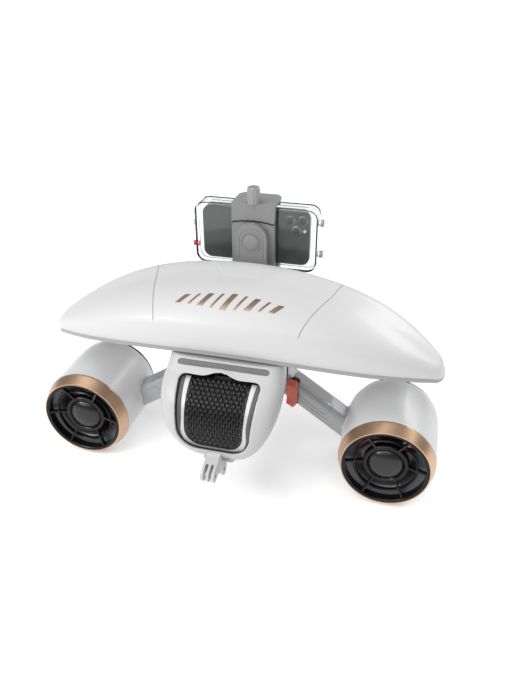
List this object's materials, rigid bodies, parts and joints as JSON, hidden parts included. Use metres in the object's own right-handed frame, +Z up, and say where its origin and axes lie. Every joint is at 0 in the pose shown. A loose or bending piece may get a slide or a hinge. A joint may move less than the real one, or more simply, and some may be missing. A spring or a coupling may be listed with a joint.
{
  "type": "underwater scooter",
  "caption": "Hand-held underwater scooter: ducted thrusters on two arms, a middle pod with a slide-out battery, a wing-shaped float, a camera bracket and a phone clamp.",
  "frame": {"origin": "on the floor under the middle of the object's box", "axes": "+X along the span towards the rider's left, -Y the direction of travel, +Z up"},
  "size_m": [0.487, 0.2423, 0.3255],
  "materials": {
    "arm_grey": "satin light grey plastic",
    "battery_black": "matte black plastic",
    "black_gloss": "gloss black plastic",
    "board_green": "green circuit board",
    "button_red": "gloss red plastic",
    "cable_black": "black cable jacket",
    "cell_blue": "heat-shrink sleeve",
    "clamp_grey": "fine-textured mid grey plastic",
    "clear_case": "clear polycarbonate",
    "copper_trim": "brushed and anodised rose gold",
    "copper_wire": "enamelled copper winding",
    "display_glass": "dark display window",
    "dome_grey": "gloss dark grey plastic",
    "duct_grey": "dark grey moulded plastic",
    "frame_silver": "satin silver plastic",
    "grip_grey": "fine-textured grey elastomer",
    "knob_grey": "satin fluted metal",
    "pad_black": "knurled black rubber",
    "phone_green": "frosted dark green glass back",
    "prop_red": "dark red moulded plastic",
    "seal_rubber": "black silicone",
    "silver_paint": "satin silver-grey paint",
    "slot_grey": "matte dark grey plastic",
    "steel": "stainless steel",
    "trigger_red": "gloss orange-red plastic",
    "white_gloss": "gloss white moulded plastic",
    "white_shell": "semi-gloss white moulded plastic"
  },
  "bodies": {
    "root": {"pod_front_shell": "white_shell", "pod_rear_shell": "white_shell", "pod_seal": "seal_rubber", "top_slot_insert": "slot_grey", "battery_bay": "slot_grey", "control_board": "board_green", "display_lens": "display_glass", "camera_bracket": "white_shell", "bracket_screws": "steel", "pod_screws": "steel", "mount_post": "clamp_grey", "float_cover": "white_gloss", "float_base": "arm_grey", "float_screws": "steel", "arm_shell_left": "arm_grey", "arm_shell_right": "arm_grey", "arm_covers": "arm_grey", "grip_pads": "grip_grey", "motor_cables": "cable_black", "trigger_guides": "slot_grey", "trigger_springs": "steel", "nacelle_shell_left": "silver_paint", "nacelle_shell_right": "silver_paint", "trim_ring_left": "copper_trim", "trim_ring_right": "copper_trim", "duct_left": "duct_grey", "duct_right": "duct_grey", "front_guard_left": "black_gloss", "front_guard_right": "black_gloss", "hub_dome_left": "dome_grey", "hub_dome_right": "dome_grey", "rear_guard_left": "black_gloss", "rear_guard_right": "black_gloss", "motor_housing_left": "duct_grey", "motor_housing_right": "duct_grey", "motor_stators": "copper_wire", "motor_bearings": "steel"},
    "prop_left": {"propeller_left": "prop_red", "rotor_left": "steel"},
    "prop_right": {"propeller_right": "prop_red", "rotor_right": "steel"},
    "trigger_left_body": {"trigger_left": "trigger_red"},
    "trigger_right_body": {"trigger_right": "trigger_red"},
    "power_button_body": {"power_button": "slot_grey"},
    "battery": {"battery_case": "battery_black", "battery_frame": "frame_silver", "battery_pad": "pad_black", "battery_cells": "cell_blue"},
    "latch": {"battery_latch": "battery_black"},
    "release": {"release_button": "clamp_grey"},
    "clamp": {"clamp_body": "clamp_grey", "lower_pad": "seal_rubber", "case_front": "clear_case", "case_back": "clear_case", "case_gasket": "seal_rubber", "phone_body": "phone_green"},
    "jaw": {"clamp_jaw": "clamp_grey", "upper_pad": "seal_rubber"},
    "knob": {"clamp_knob": "knob_grey"},
    "shutter": {"case_button": "button_red"}
  },
  "joints": [
    {"name": "prop_left_spin", "type": "hinge", "parent": "root", "child": "prop_left", "pos_m": [-0.1879, -0.01085, 0.0556], "axis": [0, 1, 0], "continuous": true},
    {"name": "prop_right_spin", "type": "hinge", "parent": "root", "child": "prop_right", "pos_m": [0.1879, -0.01085, 0.0556], "axis": [0, 1, 0], "continuous": true},
    {"name": "trigger_left_pull", "type": "slide", "parent": "root", "child": "trigger_left_body", "axis": [0, 1, 0], "range_m": [0, 0.005], "stiffness_N_per_m": 400, "springref_m": -0.004},
    {"name": "trigger_right_pull", "type": "slide", "parent": "root", "child": "trigger_right_body", "axis": [0, 1, 0], "range_m": [0, 0.005], "stiffness_N_per_m": 400, "springref_m": -0.004},
    {"name": "power_press", "type": "slide", "parent": "root", "child": "power_button_body", "axis": [0, -1, 0], "range_m": [0, 0.0015], "stiffness_N_per_m": 600, "springref_m": -0.002},
    {"name": "battery_slide", "type": "slide", "parent": "root", "child": "battery", "axis": [0, -0.891, 0.454], "range_m": [0, 0.09]},
    {"name": "latch_press", "type": "slide", "parent": "battery", "child": "latch", "axis": [0, -0.454, -0.891], "range_m": [0, 0.0025], "stiffness_N_per_m": 500, "springref_m": -0.003},
    {"name": "release_press", "type": "slide", "parent": "root", "child": "release", "axis": [0, 1, 0], "range_m": [0, 0.002], "stiffness_N_per_m": 600, "springref_m": -0.002},
    {"name": "clamp_lift", "type": "slide", "parent": "root", "child": "clamp", "axis": [0, 0, 1], "range_m": [0, 0.08]},
    {"name": "jaw_slide", "type": "slide", "parent": "clamp", "child": "jaw", "axis": [0, 0, 1], "range_m": [0, 0.012]},
    {"name": "knob_turn", "type": "hinge", "parent": "jaw", "child": "knob", "pos_m": [0, 0.08375, 0.3066], "axis": [0, 0, 1], "range_deg": [0, 2160]},
    {"name": "shutter_press", "type": "slide", "parent": "clamp", "child": "shutter", "axis": [1, 0, 0], "range_m": [0, 0.002], "stiffness_N_per_m": 500, "springref_m": -0.002}
  ],
  "couplings": [
    {"joint": "knob_turn", "follows": "jaw_slide", "rad_per_m": 3141.6}
  ]
}
